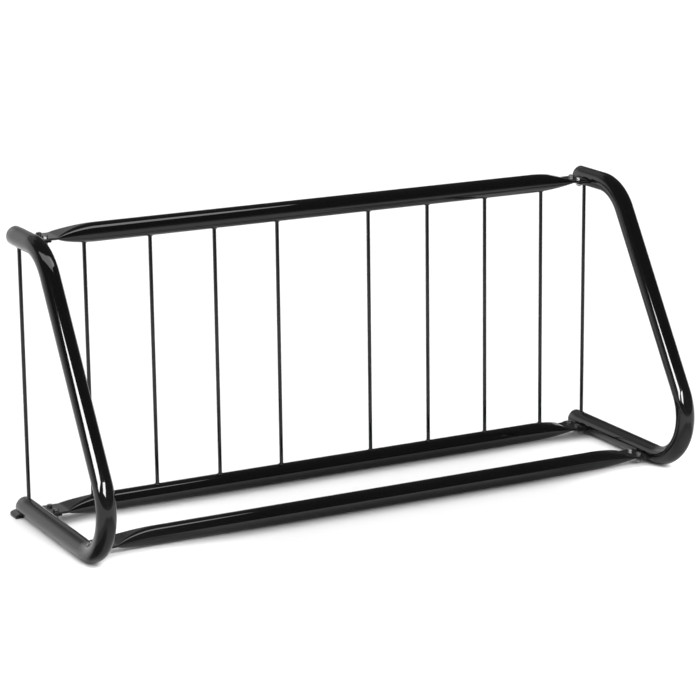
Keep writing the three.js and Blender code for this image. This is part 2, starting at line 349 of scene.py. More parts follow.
def growing_tree(name: str, inputs: dict[str, str],
                 shape: Callable[[Wiring, Sockets], Socket]) -> Tree:
    """Builds a geometry tree that ends in plain geometry of one material.

    Args:
        name: The tree's name.
        inputs: What each of its own inputs holds, by name.
        shape: Adds the tree's own nodes to the wiring, fed by the inputs' sockets.

    Returns:
        The tree.
    """
    geometry = {"Geometry": "Geometry"}
    wiring = new_tree(name, "GeometryNodeTree", geometry | inputs | {"Material": "Material"}, geometry)
    given = wiring.add("NodeGroupInput").outputs
    plain = wiring.add("GeometryNodeRealizeInstances", Geometry=shape(wiring, given)).outputs[0]
    made = wiring.add("GeometryNodeSetMaterial", Geometry=plain, Material=given["Material"])
    wiring.add("NodeGroupOutput", Geometry=made.outputs[0])
    return wiring.tree


def swept(wiring: Wiring, given: Sockets, radius: object, **scale: object) -> Socket:
    """Sweeps a circle along the lines that a geometry tree is given.

    Args:
        wiring: The tree.
        given: The sockets of its inputs, with Step and Sides among them.
        radius: The circle's radius.
        scale: The circle's scale along the line, where it changes.

    Returns:
        The closed bars.
    """
    line = wiring.add("GeometryNodeMeshToCurve", Mesh=given["Geometry"]).outputs[0]
    stepped = wiring.add("GeometryNodeResampleCurve", {"mode": "LENGTH"}, Curve=line,
                         Length=given["Step"]).outputs[0]
    profile = wiring.add("GeometryNodeCurvePrimitiveCircle", Resolution=given["Sides"],
                         Radius=radius).outputs["Curve"]
    return wiring.add("GeometryNodeCurveToMesh", Curve=stepped, Profile_Curve=profile, Fill_Caps=True,
                      **scale).outputs[0]


# ---- Finishes ----


@dataclass(frozen=True)
class SurfaceGrain:
    """The grain, uneven gloss and settled dust that every finish shares."""

    grain: tuple[float, float] = (2.0, 0.45)
    clouds: Point = (9.0, 4.0, 0.6)
    specks: Point = (620.0, 3.0, 0.7)
    speck_range: tuple[float, float] = (0.5, 0.72)
    dust_tilt: float = 0.35
    dust_colour: tuple[float, ...] = (0.32, 0.30, 0.27, 1.0)

    def group(self) -> Tree:
        """Builds the shader group. Noises go by scale, detail and roughness.

        Returns:
            The group.
        """
        wiring = new_tree("surface_grain", "ShaderNodeTree", {
            "Colour": "Color", "Tint": "Color", "Tint Amount": "Float", "Roughness": "Float",
            "Gloss Spread": "Float", "Grain Scale": "Float", "Grain Height": "Float", "Dust": "Float",
        }, {"Colour": "Color", "Roughness": "Float", "Normal": "Vector"})
        given = wiring.add("NodeGroupInput").outputs
        place = wiring.add("ShaderNodeTexCoord").outputs["Object"]
        facing = wiring.add("ShaderNodeNewGeometry").outputs["Normal"]
        grain = wiring.noise(place, given["Grain Scale"], *self.grain)
        clouds = wiring.noise(place, *self.clouds)
        specks = wiring.noise(place, *self.specks)

        upward = wiring.add("ShaderNodeSeparateXYZ", Vector=facing).outputs["Z"]
        lying = wiring.ramp(upward, self.dust_tilt, 1.0)
        patchy = wiring.math("MULTIPLY", wiring.ramp(specks, *self.speck_range), clouds)
        dust = wiring.math("MULTIPLY", wiring.math("MULTIPLY", lying, patchy), given["Dust"])
        swing = wiring.math("MULTIPLY", wiring.math("SUBTRACT", clouds, 0.5), given["Gloss Spread"])
        rough = wiring.math("ADD", wiring.math("ADD", given["Roughness"], swing), dust)

        colour = given["Colour"]
        tinge = wiring.math("MULTIPLY", clouds, given["Tint Amount"])
        for share, layer in ((tinge, given["Tint"]), (dust, self.dust_colour)):
            colour = wiring.add("ShaderNodeMix", {"data_type": "RGBA"}, _0=share, _6=colour,
                                _7=layer).outputs[2]
        bump = wiring.add("ShaderNodeBump", Height=grain, Distance=given["Grain Height"], Strength=1.0)
        wiring.add("NodeGroupOutput", Colour=colour, Roughness=rough, Normal=bump.outputs["Normal"])
        return wiring.tree


@dataclass(frozen=True)
class Finish:
    """One surface finish and the material slot that it belongs to."""

    name: str
    slot: Slot
    colour: Point
    tint: Point
    roughness: float
    tint_amount: float = 0.15
    metallic: float = 0.0
    gloss_spread: float = 0.06
    grain_scale: float = 420.0
    grain_height: float = 0.02 * MM
    dust: float = 0.0
    ior: float = 1.5

    def material(self, grain: Tree) -> bpy.types.Material:
        """Builds the finish as a material.

        Args:
            grain: The shared surface_grain group.

        Returns:
            The material.
        """
        made = bpy.data.materials.new(self.name)
        wiring = bare_wiring(made)
        surface = wiring.add(
            "ShaderNodeGroup", {"node_tree": grain},
            Colour=(*self.colour, 1.0), Tint=(*self.tint, 1.0), Tint_Amount=self.tint_amount,
            Roughness=self.roughness, Gloss_Spread=self.gloss_spread, Grain_Scale=self.grain_scale,
            Grain_Height=self.grain_height, Dust=self.dust,
        ).outputs
        shader = wiring.add(
            "ShaderNodeBsdfPrincipled", Base_Color=surface["Colour"], Roughness=surface["Roughness"],
            Normal=surface["Normal"], Metallic=self.metallic, IOR=self.ior,
        )
        wiring.add("ShaderNodeOutputMaterial", Surface=shader.outputs[0])
        return made


GLOSS_BLACK = Finish(
    name="gloss_black_coat", slot=Slot.BLACK_COAT, colour=(0.0045, 0.0045, 0.0048),
    tint=(0.0075, 0.0075, 0.0080), roughness=0.06, gloss_spread=0.03,
    grain_scale=330.0, grain_height=0.006 * MM, dust=0.03, ior=1.47,
)
WELD_BLACK = replace(
    GLOSS_BLACK, name="black_coat_over_weld", tint=(0.0090, 0.0090, 0.0095), roughness=0.22,
    gloss_spread=0.12, grain_scale=1400.0, grain_height=0.06 * MM, dust=0.10,
)
BRIGHT_ZINC = Finish(
    name="bright_zinc_plate", slot=Slot.ZINC_PLATE, colour=(0.25, 0.26, 0.27),
    tint=(0.30, 0.28, 0.24), roughness=0.34, tint_amount=0.35, metallic=1.0, gloss_spread=0.22,
    grain_scale=2600.0, dust=0.10,
)
SATIN_PLASTIC = Finish(
    name="satin_black_plastic", slot=Slot.BLACK_PLASTIC, colour=(0.005, 0.005, 0.005),
    tint=(0.010, 0.010, 0.010), roughness=0.48, tint_amount=0.3, gloss_spread=0.08,
    grain_scale=1700.0, grain_height=0.03 * MM, dust=0.05, ior=1.2,
)


class Paintbox:
    """The materials of all finishes, each built once."""

    def __init__(self, finishes: Sequence[Finish]) -> None:
        """Builds every finish."""
        grain = SurfaceGrain().group()
        self.materials = {finish.name: finish.material(grain) for finish in finishes}

    def dress(self, piece: Piece, finish: Finish, nodes: Sequence[str] = ()) -> None:
        """Gives a piece its finish and its body, and hides the nodes that it stands for.

        Args:
            piece: The finished piece.
            finish: Its finish.
            nodes: The CAD nodes that it replaces.
        """
        piece.data.materials.clear()
        piece.data.materials.append(self.materials[finish.name])
        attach(piece, BODY)
        if nodes:
            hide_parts(*nodes)
        log.info("%s: %d faces, %s", piece.name, len(piece.data.polygons), finish.name)

    def grow(self, name: str, seed: Piece, tree: Tree, finish: Finish, nodes: Sequence[str] = (),
             **values: object) -> None:
        """Runs a geometry tree on an object, keeps the result as a plain mesh and dresses it.

        Args:
            name: The new piece's name.
            seed: The object that the tree starts from. It is removed.
            tree: The geometry tree.
            finish: The new piece's finish.
            nodes: The CAD nodes that it replaces.
            values: The tree's other inputs by name, with underscores for spaces.
        """
        modifier = seed.modifiers.new("grow", "NODES")
        modifier.node_group = tree
        keys = {i.name: i.identifier for i in tree.interface.items_tree if i.in_out == "INPUT"}
        for label, value in {**values, "Material": self.materials[finish.name]}.items():
            modifier[keys[label.replace("_", " ")]] = value
        evaluated = seed.evaluated_get(bpy.context.evaluated_depsgraph_get())
        data = bpy.data.meshes.new_from_object(evaluated)
        bpy.data.meshes.remove(seed.data)
        data.name = name
        crisp(data)
        self.dress(put(name, data), finish, nodes)


# ---- Layout ----


def box_middle(node: str) -> Vector:
    """The middle of a node's box."""
    low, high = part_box(node)
    return (low + high) / 2


@dataclass(frozen=True)
class Layout:
    """Where the rack's axes run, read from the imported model."""

    tube_radius: float
    frame_x: float
    stub_end_y: float
    run_end_y: float
    rail_end_x: float
    rod_radius: float
    rails: dict[RailPlace, tuple[float, float]]

    @classmethod
    def from_frame(cls) -> "Layout":
        """Measures the nodes' boxes.

        Returns:
            The layout.
        """
        low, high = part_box("right_end_frame")
        rod_low, rod_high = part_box("right_end_rod")
        plug_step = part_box("right_top_plug")[1].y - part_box("right_floor_plug")[1].y
        return cls(
            tube_radius=(high.x - low.x) / 2,
            frame_x=(high.x + low.x) / 2,
            stub_end_y=high.y,
            run_end_y=high.y - plug_step,
            rail_end_x=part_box(RailPlace.TOP.node)[1].x,
            rod_radius=(rod_high.x - rod_low.x) / 2,
            rails={place: box_middle(place.node)[1:] for place in RailPlace},
        )

    def rail_axis(self, place: RailPlace, x: float = 0.0) -> Vector:
        """A point on a rail's axis."""
        return Vector((x, *self.rails[place]))

    def reach(self, drop: float) -> float:
        """How far to the side a tube's skin lies at a distance over or under its axis."""
        return math.sqrt(self.tube_radius ** 2 - drop ** 2)


# ---- Rails ----


@dataclass
class Rail:
    """A tube whose two ends are pressed flat: tab, swell and round middle."""

    layout: Layout
    place: RailPlace
    tab_length: float = 48 * MM
    tab_half_thickness: float = 2.8 * MM
    tab_shares: tuple[float, ...] = (0.7, 0.35, 0.1, 0.02)
    slit_half_height: float = 0.2 * MM
    slit_depth: float = 6 * MM
    swell_length: float = 110 * MM
    swell_fullness: float = 0.75
    swell_steps: int = 44
    swell_crowding: float = 1.7
    middle_steps: int = 24
    edge: float = 0.9 * MM
    edge_steps: int = 4
    around: int = 128

    @property
    def tab_root(self) -> float:
        """Where the tab ends and the swell starts, along X."""
        return self.layout.rail_end_x - self.tab_length

    def half_height(self, x: float) -> float:
        """Half the height of the section at a place along the rail.

        Args:
            x: The place.

        Returns:
            Half the height.
        """
        share = min(1.0, max(0.0, (self.tab_root - abs(x)) / self.swell_length))
        rise = math.sin(share * QUARTER_TURN) ** self.swell_fullness
        return self.tab_half_thickness + (self.layout.tube_radius - self.tab_half_thickness) * rise

    def half_flat(self, half_height: float) -> float:
        """Half the width of the section's flats: pressing keeps the tube's girth."""
        return QUARTER_TURN * (self.layout.tube_radius - half_height)

    def section(self, x: float, half_height: float, half_flat: float) -> Ring:
        """The section's points, evenly spaced round its girth from its rearmost point.

        Args:
            x: The section's place.
            half_height: Half its height, the radius of its round sides.
            half_flat: Half the width of its flats.

        Returns:
            The ring.
        """
        y, z = self.layout.rails[self.place]
        arc = math.pi * half_height
        half_girth = arc + 2 * half_flat
        points: Ring = []
        for i in range(self.around):
            run = (2 * half_girth * i / self.around + arc / 2) % (2 * half_girth)
            sign = 1 if run < half_girth else -1
            run %= half_girth
            if run < arc:
                angle = run / half_height - QUARTER_TURN
                across = half_flat + half_height * math.cos(angle)
                up = half_height * math.sin(angle)
            else:
                across, up = half_flat - (run - arc), half_height
            points.append(Vector((x, y + sign * across, z + sign * up)))
        return points

    def sections(self) -> list[tuple[float, float, float]]:
        """All sections from the floor of the right end's slit to that of the left end's.

        Returns:
            Place, half height and half flat of each.
        """
        end, thick = self.layout.rail_end_x, self.tab_half_thickness
        flat = self.half_flat(thick)
        half = [(x, self.slit_half_height, flat) for x in (end - self.slit_depth, end)]
        half += [(end - down, thick - into, flat) for into, down in quarter(self.edge, self.edge_steps)]
        places = [self.tab_root + self.tab_length * share for share in self.tab_shares]
        for i in range(self.swell_steps + 1):
            share = (i / self.swell_steps) ** self.swell_crowding
            places.append(self.tab_root - share * self.swell_length)
        round_end = places[-1]
        places += [round_end * (1 - i / self.middle_steps) for i in range(1, self.middle_steps)]
        heights = [self.half_height(x) for x in places]
        half += [(x, height, self.half_flat(height)) for x, height in zip(places, heights)]
        return half + [(-x, height, flat) for x, height, flat in reversed(half)]

    def surface_height(self, x: float, across: float) -> float:
        """How far the rail's skin stands above its axis.

        Args:
            x: The place along the rail.
            across: The distance to the side.

        Returns:
            The height.
        """
        height = self.half_height(x)
        beyond = max(0.0, abs(across) - self.half_flat(height))
        return math.sqrt(max(0.0, height ** 2 - beyond ** 2))

    def build(self, paint: Paintbox) -> None:
        """Builds and dresses the rail."""
        piece = skinned(f"{self.place.node}_tube", [self.section(*values) for values in self.sections()])
        paint.dress(piece, GLOSS_BLACK, [self.place.node])


# ---- End frames ----


@dataclass
class EndFrame:
    """One tube bent twice: rear stub, slanted leg and floor run."""

    layout: Layout
    side: Side
    head_setback: float = 108 * MM
    foot_setback: float = 550 * MM
    bend_radius: float = 125 * MM
    bend_step: float = math.radians(2.25)
    straight_step: float = 30 * MM
    wall: float = 2.6 * MM
    bore_depth: float = 30 * MM
    edge: float = 0.7 * MM
    edge_steps: int = 4
    around: int = 80

    def corners(self) -> Ring:
        """The centreline's corners.

        Returns:
            The rear end of the stub, the two corners and the rear end of the floor run.
        """
        rear_y, floor_z = self.layout.rails[RailPlace.REAR_FLOOR]
        top_z = self.layout.rails[RailPlace.TOP][1]
        places = ((self.layout.stub_end_y, top_z), (rear_y - self.head_setback, top_z),
                  (rear_y - self.foot_setback, floor_z), (self.layout.run_end_y, floor_z))
        return [Vector((self.side.value * self.layout.frame_x, *place)) for place in places]

    def stations(self) -> list[tuple[Vector, Vector]]:
        """Points and directions along the centreline.

        Returns:
            Pairs of point and direction from the stub's end to the floor run's end.
        """
        corners = self.corners()
        made = [(corners[0], (corners[1] - corners[0]).normalized())]
        for before, corner, after in zip(corners, corners[1:], corners[2:]):
            from_way = (corner - before).normalized()
            to_way = (after - corner).normalized()
            angle = from_way.angle(to_way)
            start = corner - from_way * self.bend_radius * math.tan(angle / 2)
            self.run_straight(made, start)
            inward = (to_way - from_way * from_way.dot(to_way)).normalized()
            centre = start + inward * self.bend_radius
            steps = math.ceil(angle / self.bend_step)
            for i in range(1, steps + 1):
                turn = angle * i / steps
                way = from_way * math.cos(turn) + inward * math.sin(turn)
                spoke = from_way * math.sin(turn) - inward * math.cos(turn)
                made.append((centre + spoke * self.bend_radius, way))
        self.run_straight(made, corners[-1])
        return made

    def run_straight(self, made: list[tuple[Vector, Vector]], end: Vector) -> None:
        """Adds stations along a straight run.

        Args:
            made: The stations so far, which this adds to.
            end: The run's end.
        """
        start, way = made[-1]
        steps = max(1, math.ceil((end - start).length / self.straight_step))
        made.extend((start.lerp(end, i / steps), way) for i in range(1, steps + 1))

    def rings(self) -> list[Ring]:
        """All rings, with an open bore and a rounded edge at each end.

        Returns:
            The rings from the stub's bore to the floor run's bore.
        """
        radius = self.layout.tube_radius
        stations = self.stations()
        middle = [tube_ring(point, way, radius, self.around) for point, way in stations[1:-1]]
        profile = [(self.wall, self.bore_depth), (self.wall, 0.0), *quarter(self.edge, self.edge_steps)]
        ends = [[tube_ring(point + way * into * depth, way, radius - inward, self.around)
                 for inward, depth in profile]
                for (point, way), into in ((stations[0], 1), (stations[-1], -1))]
        return ends[0] + middle + ends[1][::-1]

    def build(self, paint: Paintbox) -> None:
        """Builds and dresses the tube."""
        node = f"{self.side.word}_end_frame"
        paint.dress(skinned(f"{node}_tube", self.rings()), GLOSS_BLACK, [node])


# ---- Rods ----


@dataclass
class Rods:
    """The upright rods: the grid between two rails, and one on each end frame."""

    layout: Layout
    grid_count: int = 8
    sides: int = 28
    step: float = 40 * MM
    sink: float = 1.0 * MM

    def grid_xs(self) -> list[float]:
        """The grid rods' places along X, by node number."""
        return [box_middle(f"grid_rod_{i + 1}").x for i in range(self.grid_count)]

    def grid_way(self) -> Vector:
        """The direction of the grid rods, upwards."""
        low, high = (self.layout.rail_axis(place) for place, _ in GRID_RAILS)
        return (high - low).normalized()

    def grid_ends(self, x: float) -> Ring:
        """The low and the high point where a grid rod's axis meets the skins of its two rails."""
        return [self.layout.rail_axis(place, x)
                + self.grid_way() * up * Rail(self.layout, place).surface_height(x, 0)
                for place, up in GRID_RAILS]

    def end_ends(self, side: Side) -> Ring:
        """The low and the high point where an end rod's axis meets the end frame's two runs.

        Args:
            side: Which end frame.

        Returns:
            The two points.
        """
        low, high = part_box(f"{side.word}_end_rod")
        x = (low.x + high.x) / 2
        return [Vector((x, low.y + self.layout.rod_radius, low.z)),
                Vector((x, high.y - self.layout.rod_radius, high.z))]

    def build(self, paint: Paintbox) -> None:
        """Builds and dresses every rod.

        Args:
            paint: The materials.
        """
        tree = growing_tree("round_bar", {"Radius": "Float", "Sides": "Int", "Step": "Float"},
                            lambda wiring, given: swept(wiring, given, given["Radius"]))
        axes = {f"grid_rod_{i + 1}": self.grid_ends(x) for i, x in enumerate(self.grid_xs())}
        axes |= {f"{side.word}_end_rod": self.end_ends(side) for side in Side}
        for node, (low, high) in axes.items():
            sunk = (high - low).normalized() * self.sink
            paint.grow(f"{node}_bar", wire_of([[low - sunk, high + sunk]]), tree, GLOSS_BLACK, [node],
                       Radius=self.layout.rod_radius, Sides=self.sides, Step=self.step)


# ---- Weld beads ----


@dataclass
class Welds:
    """The weld beads at the rods' ends, the joint plates and the anchor ears.

    A bead's seat is how far its middle stands off the skin, as a share of its radius.
    """

    layout: Layout
    rods: Rods
    rod_bead: float = 1.9 * MM
    rod_seat: float = 0.35
    plate_bead: float = 2.2 * MM
    plate_seat: float = 0.2
    ear_bead: float = 2.0 * MM
    ear_seat: float = 0.3
    ripple_pitch: float = 2.1 * MM
    ripple_depth: float = 0.26
    unevenness: float = 0.35
    step: float = 0.42 * MM
    sides: int = 12
    loop_points: int = 40
    margin: float = 1.5 * MM
    wander_scale: float = 260.0
    wander_detail: float = 2.0

    def bead(self, wiring: Wiring, given: Sockets) -> Socket:
        """Adds the nodes that lay a rippled bead along each line.

        Args:
            wiring: The geometry tree.
            given: The sockets of its inputs.

        Returns:
            The beads.
        """
        run = wiring.add("GeometryNodeSplineParameter").outputs["Length"]
        turns = wiring.math("DIVIDE", wiring.math("MULTIPLY", run, math.pi), given["Ripple Pitch"])
        valley = wiring.math("SUBTRACT", 1.0, wiring.math("ABSOLUTE", wiring.math("SINE", turns)))
        ripple = wiring.math("SUBTRACT", 1.0, wiring.math("MULTIPLY", valley, given["Ripple Depth"]))
        noise = wiring.add("ShaderNodeTexNoise", {"noise_dimensions": "4D"}, W=given["Seed"],
                           Scale=self.wander_scale, Detail=self.wander_detail).outputs["Fac"]
        drift = wiring.math("MULTIPLY", wiring.math("SUBTRACT", noise, 0.5), given["Unevenness"])
        size = wiring.math("MULTIPLY", given["Bead Radius"], wiring.math("ADD", ripple, drift))
        return swept(wiring, given, 1.0, Scale=size)

    def loop(self, axis_point: Vector, way: Vector, height: Callable[[float, float], float]) -> Ring:
        """A closed line where a rod leaves a skin.

        Args:
            axis_point: The rod's axis at the skin's own axis.
            way: The rod's direction away from the skin.
            height: The skin's height over its axis at a distance along X and along Y.

        Returns:
            The points of the line.
        """
        radius = self.layout.rod_radius + self.rod_bead * self.rod_seat
        steps = [polar(angle, radius) for angle in round_angles(self.loop_points)]
        return [axis_point + step + way * height(step.x, step.y) for step in steps]

    def rod_loops(self) -> list[Ring]:
        """The lines of all rod ends.

        Returns:
            One closed line per rod end.
        """
        loops: list[Ring] = []
        for place, up in GRID_RAILS:
            rail = Rail(self.layout, place)
            for x in self.rods.grid_xs():
                loops.append(self.loop(self.layout.rail_axis(place, x), self.rods.grid_way() * up,
                                       lambda along, across: rail.surface_height(x + along, across)))
        for side in Side:
            foot, head = self.rods.end_ends(side)
            for point, way in ((foot, (head - foot).normalized()), (head, (foot - head).normalized())):
                loops.append(self.loop(point - way * self.layout.tube_radius, way,
                                       lambda along, _: self.layout.reach(along)))
        return loops

    def plate_lines(self) -> list[Ring]:
        """The lines along the top and the underside of every joint plate.

        Returns:
            Two open lines per plate.
        """
        lines: list[Ring] = []
        for side, place in JOINTS:
            low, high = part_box(f"{side.word}_{place.value}_plate")
            for z in (low.z, high.z):
                reach = self.layout.reach(z - self.layout.rails[place][1])
                x = side.value * (self.layout.frame_x - reach - self.plate_bead * self.plate_seat)
                lines.append([Vector((x, y, z)) for y in (low.y + self.margin, high.y - self.margin)])
        return lines

    def ear_lines(self) -> list[Ring]:
        """The lines along both sides of the floor run on every anchor ear.

        Returns:
            Two open lines per ear.
        """
        lines: list[Ring] = []
        for side in Side:
            low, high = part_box(f"{side.word}_anchor_ear")
            reach = self.layout.reach(self.layout.tube_radius - high.z) + self.ear_bead * self.ear_seat
            for way in (-1, 1):
                x = side.value * self.layout.frame_x + way * reach
                lines.append([Vector((x, y, high.z))
                              for y in (low.y + self.margin, self.layout.run_end_y - self.margin)])
        return lines

    def build(self, paint: Paintbox) -> None:
        """Lays and dresses all beads.

        Args:
            paint: The materials.
        """
        tree = growing_tree("weld_bead", {
            "Bead Radius": "Float", "Ripple Pitch": "Float", "Ripple Depth": "Float",
            "Unevenness": "Float", "Seed": "Float", "Step": "Float", "Sides": "Int",
        }, self.bead)
        jobs = (("rod_weld_beads", wire_of(self.rod_loops(), closed=True), self.rod_bead),
                ("plate_weld_beads", wire_of(self.plate_lines()), self.plate_bead),
                ("ear_weld_beads", wire_of(self.ear_lines()), self.ear_bead))
        for seed, (name, lines, size) in enumerate(jobs, start=1):
            paint.grow(name, lines, tree, WELD_BLACK, Bead_Radius=size, Seed=float(seed),
                       Ripple_Pitch=self.ripple_pitch, Ripple_Depth=self.ripple_depth,
                       Unevenness=self.unevenness, Step=self.step, Sides=self.sides)


# ---- Plates, ears and plugs ----


@dataclass
class JointPlates:
    """The plates on the inner sides of the end frames, under the rails' tabs."""

    layout: Layout
    corner: float = 4 * MM
    edge: float = 0.5 * MM
    corner_steps: int = 8
    into_tube: float = 1 * MM

    def outline(self, node: str, side: Side) -> Ring:
        """The plate's outline, round at its inner corners.

        Args:
            node: The plate's node.
            side: Which end of the rack it is at.

        Returns:
            Counter-clockwise points.
        """
        low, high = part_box(node)
        inner = min(abs(low.x), abs(high.x))
        outer = self.layout.frame_x - self.layout.tube_radius + self.into_tube
        half, middle = (high.y - low.y) / 2, (high.y + low.y) / 2
        r = self.corner
        points = [Vector((outer, half, 0))]
        for y, start in ((half - r, QUARTER_TURN), (r - half, math.pi)):
            points += arc_points(Vector((inner + r, y, 0)), r, start, start + QUARTER_TURN, self.corner_steps)
        points.append(Vector((outer, -half, 0)))
        placed = [Vector((side.value * p.x, p.y + middle, 0)) for p in points]
        return placed if side is Side.RIGHT else placed[::-1]

    def build(self, paint: Paintbox) -> None:
        """Builds and dresses the plates.

        Args:
            paint: The materials.
        """
        for side, place in JOINTS:
            node = f"{side.word}_{place.value}_plate"
            low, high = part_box(node)
            outline = self.outline(node, side)
            rings = [raised(inset(outline, into), z) for into, z in plate_levels(low.z, high.z, self.edge)]
            paint.dress(skinned(f"{node}_steel", rings), GLOSS_BLACK, [node])


@dataclass
class AnchorEars:
    """The flat ears at the floor, with a round rear end and a floor bolt hole."""

    hole_radius: float = 5.5 * MM
    hole_margin: float = 16 * MM
    edge: float = 0.6 * MM
    side_steps: int = 6
    rear_steps: int = 36

    def outline(self, low: Vector, high: Vector) -> Ring:
        """The ear's outline.

        Args:
            low: The lowest corner of its box.
            high: The highest corner.

        Returns:
            Counter-clockwise points.
        """
        radius = (high.x - low.x) / 2
        centre = Vector(((high.x + low.x) / 2, high.y - radius, 0))
        corners = [Vector((x, y, 0)) for x, y in ((low.x, centre.y), (low.x, low.y),
                                                  (high.x, low.y), (high.x, centre.y))]
        points: Ring = []
        for start, end in zip(corners, corners[1:]):
            points += [start.lerp(end, i / self.side_steps) for i in range(self.side_steps)]
        return points + arc_points(centre, radius, 0, math.pi, self.rear_steps)[:-1]

    def build(self, paint: Paintbox) -> None:
        """Builds and dresses the ears.

        Args:
            paint: The materials.
        """
        for side in Side:
            node = f"{side.word}_anchor_ear"
            low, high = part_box(node)
            outline = self.outline(low, high)
            hole = Vector(((high.x + low.x) / 2, high.y - self.hole_margin, 0))
            spokes = [(point - hole).normalized() for point in outline]
            levels = plate_levels(low.z, high.z, self.edge)
            rings = [raised(inset(outline, into), z) for into, z in levels]
            rings += [raised([hole + spoke * (self.hole_radius + into) for spoke in spokes], z)
                      for into, z in reversed(levels)]
            paint.dress(skinned(f"{node}_steel", rings, closed=True), GLOSS_BLACK, [node])


@dataclass
class Plugs:
    """The domed plastic plugs in the open tube ends."""

    layout: Layout
    seat_gap: float = 0.2 * MM
    rim: float = 2.5 * MM
    rim_round: float = 1.1 * MM
    rim_steps: int = 5
    groove_radius: float = 17 * MM
    groove_half_width: float = 1.5 * MM
    groove_depth: float = 0.35 * MM
    spigot_radius: float = 20.2 * MM
    spigot_depth: float = 17 * MM
    around: int = 80
    dome_steps: int = 14

    def profile(self, dome: float) -> list[tuple[float, float]]:
        """The plug's half section, from its crown to its spigot's end.

        Args:
            dome: How far the crown stands over the rim.

        Returns:
            Pairs of radius and distance rearwards from the tube's end.
        """
        rim_radius = self.layout.tube_radius
        face = rim_radius - self.rim_round
        points = []
        for i in range(1, self.dome_steps + 1):
            radius = face * i / self.dome_steps
            height = self.rim + dome * (1 - (radius / face) ** 2)
            offset = (radius - self.groove_radius) / self.groove_half_width
            points.append((radius, height - self.groove_depth * max(0.0, 1 - offset ** 2)))
        rounded = quarter(self.rim_round, self.rim_steps)[1:]
        points += [(rim_radius - into, self.rim - down) for into, down in rounded]
        return points + [(rim_radius, 0.0), (self.spigot_radius, 0.0),
                         (self.spigot_radius, -self.spigot_depth)]

    def build(self, paint: Paintbox) -> None:
        """Builds and dresses the plugs.

        Args:
            paint: The materials.
        """
        ends = {"top": (self.layout.stub_end_y, RailPlace.TOP),
                "floor": (self.layout.run_end_y, RailPlace.REAR_FLOOR)}
        for side in Side:
            for word, (end_y, place) in ends.items():
                node = f"{side.word}_{word}_plug"
                seat = end_y + self.seat_gap
                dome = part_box(node)[1].y - seat - self.rim
                x, z = side.value * self.layout.frame_x, self.layout.rails[place][1]
                rings = [tube_ring(Vector((x, seat + y, z)), FORWARDS, radius, self.around)
                         for radius, y in self.profile(dome)]
                paint.dress(skinned(f"{node}_cap", rings), SATIN_PLASTIC, [node])


# ---- Fasteners ----


